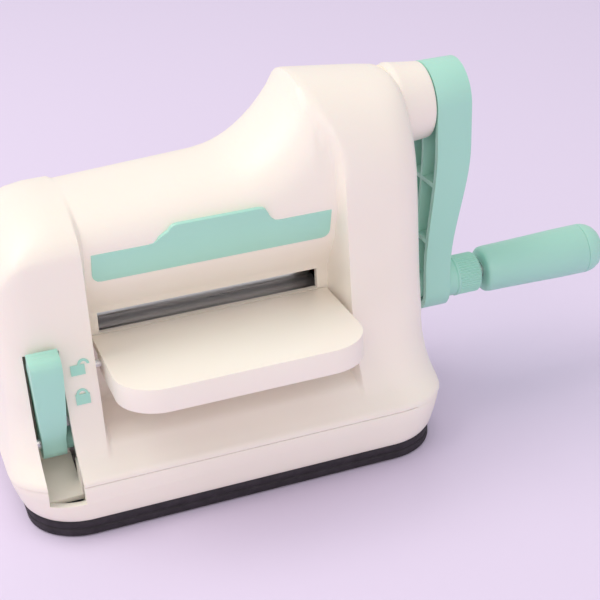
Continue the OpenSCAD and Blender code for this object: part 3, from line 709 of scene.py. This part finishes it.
# ---- Hub cap, shank and grip ---------------------------------------------
# Mint ABS turned forms on the crank: a snap cap over the hub screw, a shank
# with fine lengthwise ribs and a ring, and the free-turning grip with its end.
def turned(name, profile, z, segments=96):
    # profile: (x, radius) in mm along the axis; the ends are left open here
    clear_selection()
    bpy.ops.mesh.primitive_circle_add(vertices=segments, radius=profile[0][1] / 1000,
                                      location=(profile[0][0] / 1000, 0, z / 1000),
                                      rotation=(0, pi / 2, 0))
    made = bpy.context.object
    made.name = name
    bpy.ops.object.transform_apply(location=True, rotation=True, scale=True)
    bpy.ops.object.mode_set(mode="EDIT")
    bpy.ops.mesh.select_all(action="SELECT")
    for (x0, r0), (x1, r1) in zip(profile, profile[1:]):
        bpy.ops.mesh.extrude_region_move(TRANSFORM_OT_translate={"value": ((x1 - x0) / 1000, 0, 0)})
        bpy.ops.transform.resize(value=(1, r1 / r0, r1 / r0), center_override=(x1 / 1000, 0, z / 1000))
    bpy.ops.object.mode_set(mode="OBJECT")
    return made


def close_turned(made, bridge):
    shape = bmesh.new()
    shape.from_mesh(made.data)
    rims = [e for e in shape.edges if e.is_boundary]
    if bridge:
        bmesh.ops.bridge_loops(shape, edges=rims)
    else:
        bmesh.ops.holes_fill(shape, edges=rims, sides=0)
    bmesh.ops.recalc_face_normals(shape, faces=shape.faces[:])
    shape.to_mesh(made.data)
    shape.free()


cap_x = hub_x + 11.3
cap = turned("hub_cap_cover", [(cap_x, 6.0), (cap_x + 1.2, 6.0), (cap_x + 1.6, 5.9), (cap_x + 1.85, 5.6),
                               (cap_x + 1.95, 5.0), (cap_x + 1.7, 4.4), (cap_x + 1.72, 2.0),
                               (cap_x + 1.75, 0.4)], crank_z, 72)
close_turned(cap, False)
soften(cap, 0.08, 60)

shank = turned("grip_shank", [(94.7, 3.1), (94.7, 7.2), (95.2, 7.45), (99.3, 7.45), (99.6, 7.8),
                              (100.4, 7.8), (100.7, 7.35), (108.6, 7.35), (109.4, 7.1), (109.6, 6.6),
                              (109.6, 3.1)], grip_z, 192)
# forty-eight ribs raised from the barrel between the ring and the grip
for v in shank.data.vertices:
    x = v.co.x * 1000
    if 100.6 < x < 109.0:
        radius = sqrt(v.co.y ** 2 + (v.co.z - grip_z / 1000) ** 2)
        if radius > 0.0072:
            turn_at = degrees(atan2(v.co.z - grip_z / 1000, v.co.y)) % 360
            rise = 1.045 if int(turn_at / 3.75 + 0.25) % 2 else 1.0
            v.co.y *= rise
            v.co.z = grip_z / 1000 + (v.co.z - grip_z / 1000) * rise
close_turned(shank, True)
soften(shank, 0.05, 60, 1, 25)

grip_x0 = 112.0
grip = turned("grip_barrel", [(grip_x0, 3.1), (grip_x0, 7.4), (grip_x0 + 0.2, 8.1), (grip_x0 + 0.8, 8.65),
                              (grip_x0 + 2, 8.9), (grip_x0 + 9, 9.0), (grip_x0 + 20, 9.25),
                              (grip_x0 + 32, 9.6), (grip_x0 + 42.9, 9.68), (grip_x0 + 43, 9.3),
                              (grip_x0 + 43, 3.1)], grip_z)
close_turned(grip, True)
soften(grip, 0.06, 60)
end_x = grip_x0 + 43.02
grip_end = turned("grip_end_dome", [(end_x, 6.7), (end_x, 9.3), (end_x + 0.12, 9.68), (end_x + 1.4, 9.66),
                                    (end_x + 2.8, 9.42), (end_x + 4.2, 8.95), (end_x + 5.6, 8.1),
                                    (end_x + 6.9, 6.8), (end_x + 7.9, 5.1), (end_x + 8.6, 3.0),
                                    (end_x + 8.9, 0.8), (end_x + 8.92, 0.2)], grip_z)
close_turned(grip_end, False)
soften(grip_end, 0.05, 70)
for piece, body, node_name in ((cap, "crank", "hub_cap"), (shank, "crank", "grip_collar"),
                               (grip, "hand_grip", "grip"), (grip_end, "hand_grip", "grip_end")):
    dress(piece, mint_abs)
    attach(piece, body)
    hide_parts(node_name)

# ---- Steel, zinc and bronze inside ---------------------------------------
# Ground steel rollers and shafts, zinc-plated frame plates, cut steel gears
# and sintered bronze bushings keep the shapes of the frame.
def metal(name, tint, rough, streak_axis, streak_mm, strength):
    # turned or rolled metal: fine scratches run one way
    made, tree = new_material(name)
    place = node(tree, "ShaderNodeTexCoord").outputs["Object"]
    scale = [30.0, 30.0, 30.0]
    for k in streak_axis:
        scale[k] = 1000.0 / streak_mm
    spread = node(tree, "ShaderNodeMapping", {"Scale": scale}, {"Vector": place})
    lines = node(tree, "ShaderNodeTexNoise", {"Scale": 1.0, "Detail": 4.0},
                 {"Vector": spread.outputs["Vector"]})
    gloss = node(tree, "ShaderNodeMapRange", {"From Min": 0.3, "From Max": 0.7, "To Min": rough * 0.75,
                                              "To Max": rough * 1.3}, {"Value": lines.outputs["Fac"]})
    tone = node(tree, "ShaderNodeValToRGB", None, {"Fac": lines.outputs["Fac"]})
    tone.color_ramp.elements[0].position = 0.2
    base = colour(tint)
    tone.color_ramp.elements[0].color = [c * 0.86 for c in base[:3]] + [1]
    tone.color_ramp.elements[1].position = 0.8
    tone.color_ramp.elements[1].color = base
    scratch = node(tree, "ShaderNodeBump", {"Strength": strength, "Distance": 0.00003},
                   {"Height": lines.outputs["Fac"]})
    skin = node(tree, "ShaderNodeBsdfPrincipled", {"Metallic": 1.0},
                {"Base Color": tone.outputs["Color"], "Roughness": gloss.outputs["Result"],
                 "Normal": scratch.outputs["Normal"]})
    node(tree, "ShaderNodeOutputMaterial", None, {"Surface": skin.outputs["BSDF"]})
    return made


ground_steel = metal("ground_steel_shaft", "#E6E6E8", 0.34, (1, 2), 2.0, 0.04)
cut_steel = metal("cut_steel_gear", "#B9BABD", 0.34, (1, 2), 0.5, 0.2)
zinc_plate = metal("zinc_plated_sheet", "#C3C6C8", 0.38, (1,), 0.6, 0.15)
bronze = metal("sintered_bronze", "#B98A4E", 0.45, (0, 1, 2), 0.3, 0.3)
coats = {"ground": (ground_steel, ["upper_roller", "lower_roller", "crank_shaft", "grip_spindle",
                                   "lever_pin", "idler_pin", "tie_rods", "front_hinge_pins",
                                   "rear_hinge_pins", "suction_stem"]),
         "cut": (cut_steel, ["upper_gear", "lower_gear", "idler_gear", "crank_pinion", "upper_clip",
                             "lower_clip", "crank_clip", "frame_screws", "floor_screws"]),
         "plate": (zinc_plate, ["floor_plate", "left_frame", "right_inner_frame", "right_outer_frame",
                                "stem_guide"]),
         "bush": (bronze, ["upper_bushings", "lower_bushings", "crank_bushings"]),
         "cup": (rubber, ["suction_cup"]),
         "signs": (mint_abs, ["lock_marks"])}
for coat, names in coats.values():
    for name in names:
        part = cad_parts[name]
        part.data.materials.clear()
        part.data.materials.append(coat)
